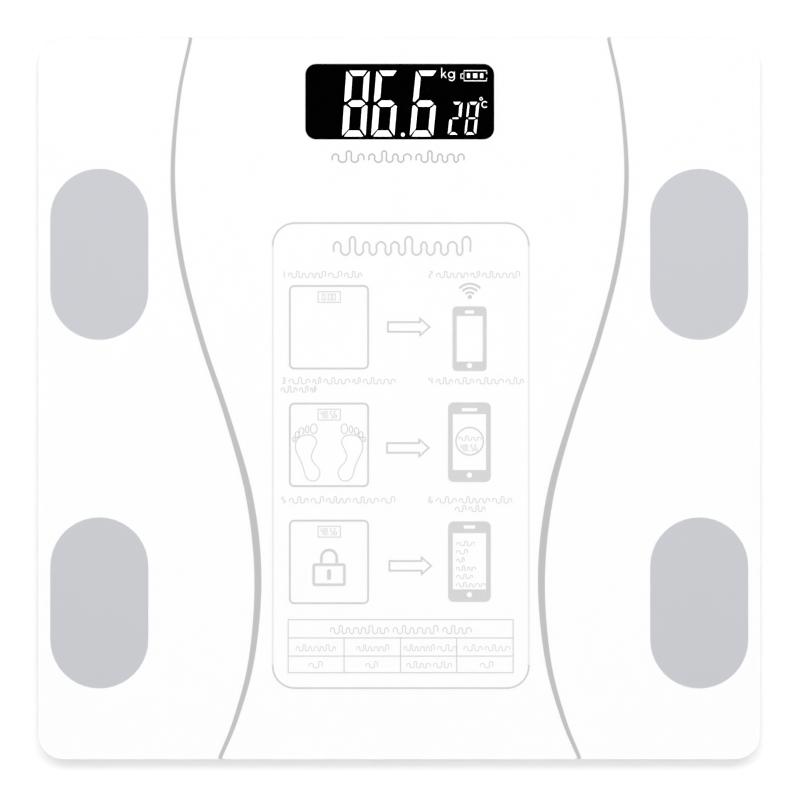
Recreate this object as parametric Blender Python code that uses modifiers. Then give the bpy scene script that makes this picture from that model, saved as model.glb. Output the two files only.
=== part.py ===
"""Digital bathroom scale: a square glass platform on a white tray, with four steel foot
electrodes, a display under the glass and a load cell over each rubber foot.

Metres, +Z up. The origin is on the floor under the middle of the glass. +Y points from
the heels to the display. Each object is one physical piece.
"""

import math

import bmesh
import bpy
from mathutils import Matrix, Vector

MM = 0.001
GAP = 0.3 * MM                      # clearance left between two pieces that touch

# Glass platform
GLASS_SIDE = 260 * MM
GLASS_THICK = 5 * MM
GLASS_CORNER = 9 * MM
GLASS_EDGE = 0.5 * MM
GLASS_BOTTOM = 19 * MM
GLASS_TOP = GLASS_BOTTOM + GLASS_THICK
UNDER_GLASS = GLASS_BOTTOM - GAP    # top of everything that is stuck to the glass

# Foot electrodes: stadium plates on the glass, each with a stud through it
ELECTRODE_WIDTH = 35.3 * MM
ELECTRODE_LENGTH = 61.6 * MM
ELECTRODE_THICK = 0.4 * MM
ELECTRODE_X = 108 * MM
ELECTRODE_Y = {"back": 51.8 * MM, "front": -73.7 * MM}
STUD_Y = {"back": 45 * MM, "front": -60 * MM}
STUD_RADIUS = 1.2 * MM
STUD_BOTTOM = 15.2 * MM
NUT_WIDTH = 5 * MM
NUT_HEIGHT = 2.4 * MM

# White tray that closes the underside
TRAY_BOTTOM = 3.5 * MM
TRAY_TOP = 17.7 * MM
TRAY_FLOOR = 2 * MM
TRAY_FLOOR_TOP = TRAY_BOTTOM + TRAY_FLOOR
TRAY_HALF_TOP = 127 * MM
TRAY_HALF_BOTTOM = 123 * MM
TRAY_CORNER = 13 * MM
TRAY_EDGE = 5 * MM
CAVITY_HALF_TOP = 123.8 * MM
CAVITY_HALF_BOTTOM = 121.5 * MM
CAVITY_CORNER = 10 * MM
RIB_TOP = 8 * MM
RIB_THICK = 1.4 * MM
RIBS_AT_X = (-60 * MM, 60 * MM)
RIBS_AT_Y = (-60 * MM, -10 * MM, 66 * MM)
EMBED = 0.5 * MM                    # how far a joined piece reaches into the tray's floor

# Foam tape between tray and glass
TAPE_BOTTOM = TRAY_TOP + GAP
TAPE_HALF_OUTER = 126.8 * MM
TAPE_HALF_INNER = 124 * MM

# Feet and load cells, one in each corner
FOOT_OFFSET = 92 * MM
PAD_RADIUS = 14.5 * MM
PAD_TOP = 2.3 * MM
CUP_RADIUS = 18 * MM
CUP_BOTTOM = 1.2 * MM
CUP_TOP = 5.6 * MM
NECK_RADIUS = 6 * MM
FOOT_HOLE_RADIUS = 19 * MM
COLLAR_RADIUS = 21 * MM
COLLAR_TOP = 6.7 * MM
CELL_SIDE = 34 * MM
CELL_THICK = 1.2 * MM
CELL_BOTTOM = 8.7 * MM
CELL_TOP = CELL_BOTTOM + CELL_THICK
NECK_TOP = CELL_BOTTOM - GAP
GAUGE_OFFSET = 10 * MM              # from the cell's middle towards the middle of the scale
BRACKET_SIDE = 44 * MM
BRACKET_BOTTOM = 7 * MM
BRACKET_LEDGE = CELL_TOP + GAP
BRACKET_HOLLOW = 28 * MM
BRACKET_ROOF = 2 * MM

# Display stack under the window, over the circuit board
DISPLAY_Y = 106.9 * MM
LCD_SIZE = (72 * MM, 29 * MM)
LCD_BOTTOM = 16.4 * MM
LIGHT_BOTTOM = 13.4 * MM
LIGHT_DEPTH = 25 * MM
HOLDER_WALL = (1.2 * MM, 0.7 * MM)
PCB_SIZE = (98 * MM, 32 * MM)
PCB_Y = 103.5 * MM
PCB_BOTTOM = 11.5 * MM
PCB_TOP = PCB_BOTTOM + 1.6 * MM
UNDER_PCB = PCB_BOTTOM - GAP
POST_RADIUS = 3 * MM
POST_X = 45 * MM
POST_Y = (91 * MM, 116 * MM)
SCREWS_AT = ((-POST_X, POST_Y[0]), (POST_X, POST_Y[1]))

# Unit button on the underside and the switch over it
BUTTON_X = -30 * MM
BUTTON_Y = 97 * MM
BUTTON_RADIUS = 4 * MM
BUTTON_FLANGE = 5.6 * MM
BUTTON_BOTTOM = 3.9 * MM
SWITCH_TIP = 7.2 * MM

# Battery bay, open downwards under its door
BAY_Y = 40 * MM
BAY_HALF = (24.5 * MM, 11.2 * MM)
BAY_BLOCK_X = 29.5 * MM
BAY_BLOCK_Y = (23.5 * MM, 58.5 * MM)
BAY_BLOCK_TOP = 18 * MM
BAY_ROOF = 17 * MM
DOOR_HALF = (27 * MM, 14 * MM)
DOOR_THICK = 1.6 * MM
DOOR_TOP = TRAY_BOTTOM + DOOR_THICK
DOOR_PIVOT_Y = BAY_Y + DOOR_HALF[1] + GAP / 2
TONGUE_X = 14 * MM
TONGUE_WIDTH = 8 * MM
TONGUE_REACH = 1.85 * MM            # past the pivot
TONGUE_BOTTOM = 5.2 * MM
TONGUE_TOP = 6.2 * MM
BATTERY_RADIUS = 5.1 * MM
BATTERY_Z = 11.2 * MM
BATTERY_SPACING = 5.5 * MM          # from the bay's middle to each battery's axis
BATTERY_BODY = 42.5 * MM
NUB_LENGTH = 1.5 * MM
BATTERY_END = 20.7 * MM             # x of the flat end
CONTACT_X = 23.6 * MM
CONTACT_THICK = 0.5 * MM

LEAD_RADIUS = 0.6 * MM
LEAD_STEP = 15 * MM
LEAD_Z = 9.6 * MM
ELECTRODE_LEAD_Z = 13.6 * MM

SIDES = (("left", -1), ("right", 1))
ENDS = (("back", 1), ("front", -1))


def clear_scene():
    """Remove every object so that the script starts from nothing."""
    for obj in list(bpy.data.objects):
        bpy.data.objects.remove(obj, do_unlink=True)


def make_collection(name):
    """Add a collection to the scene."""
    collection = bpy.data.collections.new(name)
    bpy.context.scene.collection.children.link(collection)
    return collection


def make_material(name, color, roughness, metallic=0.0):
    """A plain Principled material."""
    material = bpy.data.materials.new(name)
    material.use_nodes = True
    shader = material.node_tree.nodes["Principled BSDF"]
    shader.inputs["Base Color"].default_value = (*color, 1.0)
    shader.inputs["Roughness"].default_value = roughness
    shader.inputs["Metallic"].default_value = metallic
    material.diffuse_color = (*color, 1.0)
    return material


def place(name, mesh, collection, material=None, location=(0, 0, 0)):
    """Put a mesh in the scene as a named object."""
    obj = bpy.data.objects.new(name, mesh)
    obj.location = location
    if material:
        mesh.materials.append(material)
    collection.objects.link(obj)
    return obj


def piece(name, mesh, material, location=(0, 0, 0)):
    """One physical piece of the scale."""
    return place(name, mesh, PARTS, material, location)


def tool(name, mesh, location=(0, 0, 0)):
    """A shape that is only cut away from, or joined to, a piece."""
    obj = place(name, mesh, CUTTERS, None, location)
    obj.hide_render = True
    obj.display_type = "WIRE"
    return obj


def combine(target, other, operation):
    """Cut one solid from another, or join the two."""
    modifier = target.modifiers.new(operation.title(), "BOOLEAN")
    modifier.operation = operation
    modifier.solver = "EXACT"
    modifier.object = other


def cut(target, *tools):
    for other in tools:
        combine(target, other, "DIFFERENCE")


def join(target, *tools):
    for other in tools:
        combine(target, other, "UNION")


def mesh_from(name, bm, smooth=True):
    """Finish a bmesh as a mesh, with round faces shaded smooth."""
    bmesh.ops.recalc_face_normals(bm, faces=bm.faces)
    mesh = bpy.data.meshes.new(name)
    bm.to_mesh(mesh)
    bm.free()
    if smooth:
        mesh.shade_smooth()
        mesh.set_sharp_from_angle(angle=math.radians(35))
    return mesh


def slab(name, size, low, high, corner=0.0, steps=6, bottom_half=None, rims=(), edge=0.0, edge_steps=2):
    """An upright slab about the Z axis with rounded corners, a taper and rounded rims.

    size is the plan size at the top, bottom_half half the side at the bottom, and rims
    names the rims to round: "top", "bottom" or both.
    """
    bm = bmesh.new()
    bmesh.ops.create_cube(bm, size=1.0)
    bmesh.ops.scale(bm, vec=(size[0], size[1], high - low), verts=bm.verts)
    bmesh.ops.translate(bm, vec=(0, 0, (low + high) / 2), verts=bm.verts)
    middle = (low + high) / 2
    if corner:
        uprights = [e for e in bm.edges if (e.verts[0].co.z - middle) * (e.verts[1].co.z - middle) < 0]
        bmesh.ops.bevel(bm, geom=uprights, offset=corner, segments=steps, profile=0.5, affect="EDGES")
    if bottom_half:
        scale = 2 * bottom_half / size[0]
        lower = [v for v in bm.verts if v.co.z < middle]
        bmesh.ops.scale(bm, vec=(scale, scale, 1), verts=lower)
    for rim in rims:
        level = high if rim == "top" else low
        loop = [e for e in bm.edges if all(abs(v.co.z - level) < edge / 10 for v in e.verts)]
        bmesh.ops.bevel(bm, geom=loop, offset=edge, segments=edge_steps, profile=0.5, affect="EDGES")
    return mesh_from(name, bm)


def block(name, low, high):
    """A plain box between two corners."""
    bm = bmesh.new()
    bmesh.ops.create_cube(bm, size=1.0)
    low, high = Vector(low), Vector(high)
    bmesh.ops.scale(bm, vec=high - low, verts=bm.verts)
    bmesh.ops.translate(bm, vec=(low + high) / 2, verts=bm.verts)
    return mesh_from(name, bm, smooth=False)


def cylinder(name, radius, low, high, segments=24, center=(0, 0), along="Z", top_radius=None):
    """A cylinder or cone between two levels of one axis; center is on the other two."""
    bm = bmesh.new()
    bmesh.ops.create_cone(
        bm, cap_ends=True, segments=segments, radius1=radius,
        radius2=radius if top_radius is None else top_radius, depth=high - low,
    )
    bmesh.ops.translate(bm, vec=(0, 0, (low + high) / 2), verts=bm.verts)
    if along == "X":
        turn = Matrix.Rotation(math.radians(90), 4, "Y")
        bmesh.ops.transform(bm, matrix=turn, verts=bm.verts)
        bmesh.ops.translate(bm, vec=(0, center[0], center[1]), verts=bm.verts)
    else:
        bmesh.ops.translate(bm, vec=(center[0], center[1], 0), verts=bm.verts)
    return mesh_from(name, bm)


def turned(name, profile, material, location, steps=24):
    """A turned piece: the profile of (radius, height) runs down its outer side."""
    bm = bmesh.new()
    verts = [bm.verts.new((radius, 0, height)) for radius, height in profile]
    for first, second in zip(verts, verts[1:]):
        bm.edges.new((first, second))
    mesh = bpy.data.meshes.new(name)
    bm.to_mesh(mesh)
    bm.free()
    obj = piece(name, mesh, material, location)
    screw = obj.modifiers.new("Turn", "SCREW")
    screw.steps = steps
    screw.render_steps = steps
    screw.use_merge_vertices = True
    screw.merge_threshold = 0.00001
    screw.use_smooth_shade = True
    return obj


def stadium(name, width, length, low, high, steps=20):
    """A flat plate with full round ends along Y, filled from a 2D outline."""
    curve = bpy.data.curves.new(name, "CURVE")
    curve.dimensions = "2D"
    curve.fill_mode = "BOTH"
    curve.extrude = (high - low) / 2
    radius = width / 2
    points = []
    for sign in (1, -1):
        for step in range(steps + 1):
            angle = math.pi * step / steps
            points.append((sign * radius * math.cos(angle), sign * (length / 2 - radius + radius * math.sin(angle))))
    spline = curve.splines.new("POLY")
    spline.points.add(len(points) - 1)
    for point, (x, y) in zip(spline.points, points):
        point.co = (x, y, 0, 1)
    spline.use_cyclic_u = True
    obj = bpy.data.objects.new(name, curve)
    obj.location.z = (low + high) / 2
    return mesh_of_curve(obj)


def mesh_of_curve(obj):
    """Turn a curve object into a welded mesh in world space and drop the curve."""
    bpy.context.scene.collection.objects.link(obj)
    bpy.context.view_layer.update()
    evaluated = obj.evaluated_get(bpy.context.evaluated_depsgraph_get())
    mesh = bpy.data.meshes.new_from_object(evaluated)
    mesh.transform(obj.matrix_world)
    name = obj.name
    bpy.data.objects.remove(obj, do_unlink=True)
    bm = bmesh.new()
    bm.from_mesh(mesh)
    bpy.data.meshes.remove(mesh)
    bmesh.ops.remove_doubles(bm, verts=bm.verts, dist=0.000001)
    return mesh_from(name, bm)


def smooth_route(knots, step):
    """Points about one step apart on a smooth curve through the knots."""
    padded = [2 * knots[0] - knots[1], *knots, 2 * knots[-1] - knots[-2]]
    route = [knots[0]]
    for before, start, end, after in zip(padded, padded[1:], padded[2:], padded[3:]):
        pieces = max(1, math.ceil((end - start).length / step))
        for index in range(1, pieces + 1):
            t = index / pieces
            route.append(0.5 * (
                2 * start + (end - before) * t
                + (2 * before - 5 * start + 4 * end - after) * t * t
                + (3 * start - before - 3 * end + after) * t * t * t
            ))
    return route


def tube(name, route, radius, resolution=2):
    """A round wire along a route, with closed ends."""
    curve = bpy.data.curves.new(name, "CURVE")
    curve.dimensions = "3D"
    curve.bevel_depth = radius
    curve.bevel_resolution = resolution
    curve.use_fill_caps = True
    spline = curve.splines.new("POLY")
    spline.points.add(len(route) - 1)
    for point, place_at in zip(spline.points, route):
        point.co = (*place_at, 1)
    return bpy.data.objects.new(name, curve)


def lead(name, knots, material, side=1):
    """An insulated wire inside the scale, through knots in millimetres."""
    route = smooth_route([Vector((side * x, y, z)) * MM for x, y, z in knots], LEAD_STEP)
    obj = tube(name, route, LEAD_RADIUS)
    obj.data.materials.append(material)
    PARTS.objects.link(obj)
    return obj


def make_glass():
    """The platform: a toughened glass square, drilled for the four electrode studs."""
    mesh = slab(
        "glass_platform", (GLASS_SIDE, GLASS_SIDE), GLASS_BOTTOM, GLASS_TOP,
        corner=GLASS_CORNER, steps=9, rims=("top", "bottom"), edge=GLASS_EDGE,
    )
    glass = piece("glass_platform", mesh, GLASS)
    for side, sign in SIDES:
        for end, _ in ENDS:
            hole = cylinder(
                "stud_hole", STUD_RADIUS + GAP, GLASS_BOTTOM - 1 * MM, GLASS_TOP + 1 * MM,
                segments=16, center=(sign * ELECTRODE_X, STUD_Y[end]),
            )
            cut(glass, tool(f"stud_hole_{end}_{side}", hole))


def make_electrodes():
    """A steel plate on the glass in each place, its stud, nut and lead below."""
    plate_bottom = GLASS_TOP + GAP
    for end, _ in ENDS:
        for side, sign in SIDES:
            name = f"electrode_{end}_{side}"
            plate = stadium(name, ELECTRODE_WIDTH, ELECTRODE_LENGTH, plate_bottom, plate_bottom + ELECTRODE_THICK)
            electrode = piece(name, plate, STEEL, (sign * ELECTRODE_X, ELECTRODE_Y[end], 0))
            stud = cylinder(
                f"stud_{end}_{side}", STUD_RADIUS, STUD_BOTTOM, plate_bottom + ELECTRODE_THICK / 2,
                segments=12, center=(sign * ELECTRODE_X, STUD_Y[end]),
            )
            join(electrode, tool(f"stud_{end}_{side}", stud))
            make_nut(f"electrode_nut_{end}_{side}", (sign * ELECTRODE_X, STUD_Y[end], 0))


def make_nut(name, location):
    """The nut that holds an electrode's stud and its lead's end."""
    radius = NUT_WIDTH / 2 / math.cos(math.pi / 6)
    nut = piece(name, cylinder(name, radius, UNDER_GLASS - NUT_HEIGHT, UNDER_GLASS, segments=6), STEEL, location)
    hole = cylinder(name, STUD_RADIUS + GAP, UNDER_GLASS - 2 * NUT_HEIGHT, GLASS_BOTTOM, segments=12)
    cut(nut, tool(f"{name}_hole", hole, location))


def make_tape():
    """The foam tape ring that seals and holds the tray to the glass."""
    outer = slab(
        "glass_tape", (2 * TAPE_HALF_OUTER,) * 2, TAPE_BOTTOM, UNDER_GLASS, corner=TRAY_CORNER, steps=6,
    )
    inner = slab(
        "tape_hole", (2 * TAPE_HALF_INNER,) * 2, TAPE_BOTTOM - 1 * MM, UNDER_GLASS + 1 * MM,
        corner=CAVITY_CORNER, steps=6,
    )
    cut(piece("glass_tape", outer, FOAM), tool("tape_hole", inner))


def make_tray():
    """The tray: walls, floor, ribs, collars round the feet, posts and the battery bay."""
    outer = slab(
        "base_tray", (2 * TRAY_HALF_TOP,) * 2, TRAY_BOTTOM, TRAY_TOP, corner=TRAY_CORNER,
        bottom_half=TRAY_HALF_BOTTOM, rims=("bottom",), edge=TRAY_EDGE, edge_steps=4,
    )
    tray = piece("base_tray", outer, WHITE_PLASTIC)
    cavity = slab(
        "tray_cavity", (2 * CAVITY_HALF_TOP,) * 2, TRAY_FLOOR_TOP, TRAY_TOP + 1 * MM,
        corner=CAVITY_CORNER, bottom_half=CAVITY_HALF_BOTTOM, rims=("bottom",), edge=2 * MM, edge_steps=2,
    )
    cut(tray, tool("tray_cavity", cavity))
    join(tray, *tray_ribs(), *tray_collars(), *tray_posts(), bay_block())
    cut(tray, *foot_holes(), *bay_cutters(), button_hole())


def tray_ribs():
    """Stiffening ribs on the floor, from wall to wall."""
    low = TRAY_FLOOR_TOP - EMBED
    reach = CAVITY_HALF_BOTTOM + EMBED
    half = RIB_THICK / 2
    ribs = []
    for number, x in enumerate(RIBS_AT_X, start=1):
        ribs.append(tool(f"rib_x_{number}", block("rib", (x - half, -reach, low), (x + half, reach, RIB_TOP))))
    top = RIB_TOP - GAP
    for number, y in enumerate(RIBS_AT_Y, start=1):
        ribs.append(tool(f"rib_y_{number}", block("rib", (-reach, y - half, low), (reach, y + half, top))))
    return ribs


def tray_collars():
    """A raised ring round each foot's hole."""
    collars = []
    for end, y_sign in ENDS:
        for side, x_sign in SIDES:
            mesh = cylinder(
                "collar", COLLAR_RADIUS, TRAY_FLOOR_TOP - EMBED, COLLAR_TOP, segments=32,
                center=(x_sign * FOOT_OFFSET, y_sign * FOOT_OFFSET),
            )
            collars.append(tool(f"collar_{end}_{side}", mesh))
    return collars


def foot_holes():
    """The round holes that the feet stand out of."""
    holes = []
    for end, y_sign in ENDS:
        for side, x_sign in SIDES:
            mesh = cylinder(
                "foot_hole", FOOT_HOLE_RADIUS, TRAY_BOTTOM - 1 * MM, COLLAR_TOP + 1 * MM, segments=32,
                center=(x_sign * FOOT_OFFSET, y_sign * FOOT_OFFSET),
            )
            holes.append(tool(f"foot_hole_{end}_{side}", mesh))
    return holes


def tray_posts():
    """Four posts under the circuit board."""
    posts = []
    for number, (x, y) in enumerate([(x, y) for x in (-POST_X, POST_X) for y in POST_Y], start=1):
        mesh = cylinder("post", POST_RADIUS, TRAY_FLOOR_TOP - EMBED, UNDER_PCB, segments=16, center=(x, y))
        posts.append(tool(f"post_{number}", mesh))
    return posts


def bay_block():
    """The walls and roof of the battery bay, still solid."""
    mesh = block(
        "bay_block", (-BAY_BLOCK_X, BAY_BLOCK_Y[0], TRAY_FLOOR_TOP - EMBED),
        (BAY_BLOCK_X, BAY_BLOCK_Y[1], BAY_BLOCK_TOP),
    )
    return tool("bay_block", mesh)


def bay_cutters():
    """The bay's hollow, the door's seat, its tongue slots and latch pocket, and the lead holes."""
    ledge = DOOR_TOP + GAP
    seat_x, seat_y = DOOR_HALF[0] + GAP, DOOR_HALF[1] + GAP
    below = TRAY_BOTTOM - 1 * MM
    seat = block("door_seat", (-seat_x, BAY_Y - seat_y, below), (seat_x, BAY_Y + seat_y, ledge))
    hollow = block(
        "bay_hollow", (-BAY_HALF[0], BAY_Y - BAY_HALF[1], ledge - EMBED),
        (BAY_HALF[0], BAY_Y + BAY_HALF[1], BAY_ROOF),
    )
    pocket = block(
        "latch_pocket", (-7.5 * MM, BAY_Y - seat_y, ledge - EMBED),
        (7.5 * MM, BAY_Y - BAY_HALF[1] + EMBED, 9.5 * MM),
    )
    cutters = [tool("door_seat", seat), tool("bay_hollow", hollow), tool("latch_pocket", pocket)]
    half = TONGUE_WIDTH / 2 + 2 * GAP
    for side, sign in SIDES:
        x = sign * TONGUE_X
        slot = block(
            "tongue_slot", (x - half, BAY_Y + BAY_HALF[1] - EMBED, TONGUE_BOTTOM - GAP),
            (x + half, DOOR_PIVOT_Y + TONGUE_REACH + 2 * GAP, TONGUE_TOP + 4 * GAP),
        )
        cutters.append(tool(f"tongue_slot_{side}", slot))
    for name, y in (("plus", BAY_Y - BATTERY_SPACING), ("minus", BAY_Y + BATTERY_SPACING)):
        hole = cylinder(
            "lead_hole", 2 * LEAD_RADIUS, -BAY_BLOCK_X - 1 * MM, -BAY_HALF[0] + 1 * MM,
            segments=12, center=(y, 12 * MM), along="X",
        )
        cutters.append(tool(f"lead_hole_{name}", hole))
    for number, (x, y) in enumerate(SCREWS_AT, start=1):
        hole = cylinder("pilot", 1.3 * MM, 7 * MM, PCB_TOP, segments=12, center=(x, y))
        cutters.append(tool(f"pilot_hole_{number}", hole))
    return cutters


def button_hole():
    """The hole in the floor for the unit button."""
    mesh = cylinder(
        "button_hole", BUTTON_RADIUS + GAP, TRAY_BOTTOM - 1 * MM, TRAY_FLOOR_TOP + 1 * MM,
        segments=24, center=(BUTTON_X, BUTTON_Y),
    )
    return tool("button_hole", mesh)


def make_feet():
    """A rubber pad in a plastic cup under each load cell; the cup's origin is on its slide."""
    for end, y_sign in ENDS:
        for side, x_sign in SIDES:
            location = (x_sign * FOOT_OFFSET, y_sign * FOOT_OFFSET, 0)
            make_pad(f"foot_pad_{end}_{side}", location)
            make_cup(f"foot_cup_{end}_{side}", location)


def make_pad(name, location):
    """A rubber disc with a round edge and one ring groove in its flat sole."""
    profile = [
        (0, PAD_TOP), (PAD_RADIUS - 0.6 * MM, PAD_TOP), (PAD_RADIUS, PAD_TOP - 0.6 * MM),
        (PAD_RADIUS, 0.7 * MM), (PAD_RADIUS - 0.2 * MM, 0.2 * MM), (PAD_RADIUS - 0.7 * MM, 0),
        (10.5 * MM, 0), (10.2 * MM, 0.5 * MM), (9.2 * MM, 0.5 * MM), (8.9 * MM, 0), (0, 0),
    ]
    turned(name, profile, RUBBER, location)


def make_cup(name, location):
    """The cup that carries the pad, with a neck up to the load cell's tongue."""
    recess = PAD_RADIUS + GAP
    profile = [
        (0, NECK_TOP), (NECK_RADIUS - 0.6 * MM, NECK_TOP), (NECK_RADIUS, NECK_TOP - 0.6 * MM),
        (NECK_RADIUS, CUP_TOP + 0.6 * MM), (NECK_RADIUS + 0.8 * MM, CUP_TOP),
        (CUP_RADIUS - 1.2 * MM, CUP_TOP), (CUP_RADIUS, CUP_TOP - 1.2 * MM),
        (CUP_RADIUS, CUP_BOTTOM + 0.8 * MM), (CUP_RADIUS - 0.8 * MM, CUP_BOTTOM),
        (recess, CUP_BOTTOM), (recess, PAD_TOP + GAP), (0, PAD_TOP + GAP),
    ]
    turned(name, profile, WHITE_PLASTIC, location)


def make_load_cells():
    """A stamped steel cell, its strain gauge and the bracket that ties it to the glass."""
    for end, y_sign in ENDS:
        for side, x_sign in SIDES:
            where = Vector((x_sign * FOOT_OFFSET, y_sign * FOOT_OFFSET, 0))
            make_cell(f"load_cell_{end}_{side}", where, y_sign)
            gauge = slab(
                "strain_gauge", (9 * MM, 4.5 * MM), CELL_TOP + GAP, CELL_TOP + GAP + 0.5 * MM,
                corner=0.8 * MM, steps=2,
            )
            piece(f"strain_gauge_{end}_{side}", gauge, GAUGE, where - Vector((0, y_sign * GAUGE_OFFSET, 0)))
            make_bracket(f"load_cell_bracket_{end}_{side}", where, y_sign)


def make_cell(name, where, y_sign):
    """A flat cell: an outer frame and a tongue, parted by a U-shaped slot."""
    mesh = slab(name, (CELL_SIDE, CELL_SIDE), CELL_BOTTOM, CELL_TOP, corner=3 * MM, steps=3)
    cell = piece(name, mesh, CELL_STEEL, where)
    low, high = CELL_BOTTOM - 1 * MM, CELL_TOP + 1 * MM
    slot = 1.8 * MM
    tongue = 7.5 * MM
    root, tip = 7 * MM, 11 * MM
    for side, sign in SIDES:
        x_low, x_high = sorted((sign * tongue, sign * (tongue + slot)))
        y_low, y_high = sorted((-y_sign * root, y_sign * tip))
        arm = block("cell_arm_slot", (x_low, y_low, low), (x_high, y_high, high))
        cut(cell, tool(f"{name}_slot_{side}", arm, where))
    y_low, y_high = sorted((y_sign * tip, y_sign * (tip - slot)))
    cross = block("cell_cross_slot", (-tongue - slot / 2, y_low, low), (tongue + slot / 2, y_high, high))
    cut(cell, tool(f"{name}_slot_across", cross, where))


def make_bracket(name, where, y_sign):
    """A plastic bracket under the glass that holds a load cell by its outer frame."""
    mesh = slab(name, (BRACKET_SIDE, BRACKET_SIDE), BRACKET_BOTTOM, UNDER_GLASS, corner=4 * MM, steps=3)
    bracket = piece(name, mesh, WHITE_PLASTIC, where)
    pocket_half = CELL_SIDE / 2 + GAP
    low = BRACKET_BOTTOM - 1 * MM
    pocket = block("pocket", (-pocket_half, -pocket_half, low), (pocket_half, pocket_half, BRACKET_LEDGE))
    half = BRACKET_HOLLOW / 2
    hollow = block("hollow", (-half, -half, low), (half, half, UNDER_GLASS - BRACKET_ROOF))
    outside = -y_sign * (BRACKET_SIDE / 2 + 1 * MM)
    y_low, y_high = sorted((0, outside))
    notch = block("notch", (-2 * MM, y_low, low), (2 * MM, y_high, 13 * MM))
    cut(bracket, tool(f"{name}_pocket", pocket, where), tool(f"{name}_hollow", hollow, where))
    cut(bracket, tool(f"{name}_notch", notch, where))


def make_display():
    """The display panel, its backlight, contact strip and holder."""
    center = (0, DISPLAY_Y, 0)
    lcd = slab("display_panel", LCD_SIZE, LCD_BOTTOM, UNDER_GLASS, corner=1 * MM, steps=2)
    piece("display_panel", lcd, DISPLAY_BLACK, center)
    light_top = LCD_BOTTOM - GAP
    light = slab("display_backlight", (LCD_SIZE[0], LIGHT_DEPTH), LIGHT_BOTTOM, light_top, corner=1 * MM, steps=2)
    back = (LCD_SIZE[1] - LIGHT_DEPTH) / 2
    piece("display_backlight", light, DIFFUSER, (0, DISPLAY_Y + back, 0))
    strip = slab("display_contact_strip", (60 * MM, 2.4 * MM), LIGHT_BOTTOM, light_top)
    strip_y = DISPLAY_Y - LCD_SIZE[1] / 2 + 1.8 * MM
    piece("display_contact_strip", strip, RUBBER, (0, strip_y, 0))
    inner = [side + 2 * GAP for side in LCD_SIZE]
    outer = [side + 2 * wall for side, wall in zip(inner, HOLDER_WALL)]
    frame = slab("display_holder", outer, LIGHT_BOTTOM, UNDER_GLASS, corner=1.5 * MM, steps=3)
    hole = slab("holder_hole", inner, LIGHT_BOTTOM - 1 * MM, UNDER_GLASS + 1 * MM, corner=1 * MM, steps=2)
    cut(piece("display_holder", frame, BLACK_PLASTIC, center), tool("holder_hole", hole, center))


def make_board():
    """The circuit board with its chip, radio module, switch and temperature sensor."""
    mesh = slab("main_pcb", PCB_SIZE, PCB_BOTTOM, PCB_TOP, corner=1.5 * MM, steps=2)
    board = piece("main_pcb", mesh, PCB_GREEN, (0, PCB_Y, 0))
    for number, (x, y) in enumerate(SCREWS_AT, start=1):
        hole = cylinder("pcb_hole", 1.5 * MM, PCB_BOTTOM - 1 * MM, PCB_TOP + 1 * MM, segments=16, center=(x, y))
        cut(board, tool(f"pcb_hole_{number}", hole))
        make_screw(f"pcb_screw_{number}", x, y)
    chip = [(0, UNDER_PCB), (5 * MM, UNDER_PCB), (4.6 * MM, 10.6 * MM), (3 * MM, 10.1 * MM), (0, 9.9 * MM)]
    turned("processor_chip", chip, BLACK_PLASTIC, (5 * MM, PCB_Y, 0), steps=16)
    radio = slab("radio_module", (14 * MM, 18 * MM), UNDER_PCB - 1.8 * MM, UNDER_PCB, corner=0.8 * MM, steps=2)
    piece("radio_module", radio, SHIELD, (29 * MM, PCB_Y, 0))
    make_switch()
    make_sensor()


def make_screw(name, x, y):
    """A small pan-head screw with a cross recess, through the board into its post."""
    head_top = PCB_TOP + GAP + 1.3 * MM
    profile = [
        (0, head_top), (1.4 * MM, head_top - 0.1 * MM), (2.2 * MM, head_top - 0.6 * MM),
        (2.3 * MM, PCB_TOP + GAP), (1 * MM, PCB_TOP + GAP), (1 * MM, 8 * MM), (0, 7.4 * MM),
    ]
    screw = turned(name, profile, STEEL, (x, y, 0), steps=16)
    depth = head_top - 0.7 * MM
    for number, (half_x, half_y) in enumerate(((1.2 * MM, 0.25 * MM), (0.25 * MM, 1.2 * MM)), start=1):
        slot = block("slot", (-half_x, -half_y, depth), (half_x, half_y, head_top + 1 * MM))
        cut(screw, tool(f"{name}_recess_{number}", slot, (x, y, 0)))


def make_switch():
    """The push switch under the board, its plunger down towards the button."""
    body_bottom = 7.8 * MM
    mesh = slab("unit_switch", (6 * MM, 6 * MM), body_bottom, UNDER_PCB, corner=0.5 * MM, steps=2)
    switch = piece("unit_switch", mesh, BLACK_PLASTIC, (BUTTON_X, BUTTON_Y, 0))
    plunger = cylinder("plunger", 1.7 * MM, SWITCH_TIP, body_bottom + EMBED, segments=16)
    join(switch, tool("switch_plunger", plunger, (BUTTON_X, BUTTON_Y, 0)))


def make_sensor():
    """The temperature sensor: a bead on two legs."""
    where = (18 * MM, 93 * MM, 0)
    profile = [(0, 10 * MM), (1 * MM, 9.8 * MM), (1.4 * MM, 9.2 * MM), (1 * MM, 8.4 * MM), (0, 8.1 * MM)]
    sensor = turned("temperature_sensor", profile, GAUGE, where, steps=12)
    for side, sign in SIDES:
        leg = cylinder("leg", 0.25 * MM, 9.2 * MM, UNDER_PCB, segments=8, center=(sign * 0.7 * MM, 0))
        join(sensor, tool(f"sensor_leg_{side}", leg, where))


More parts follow.
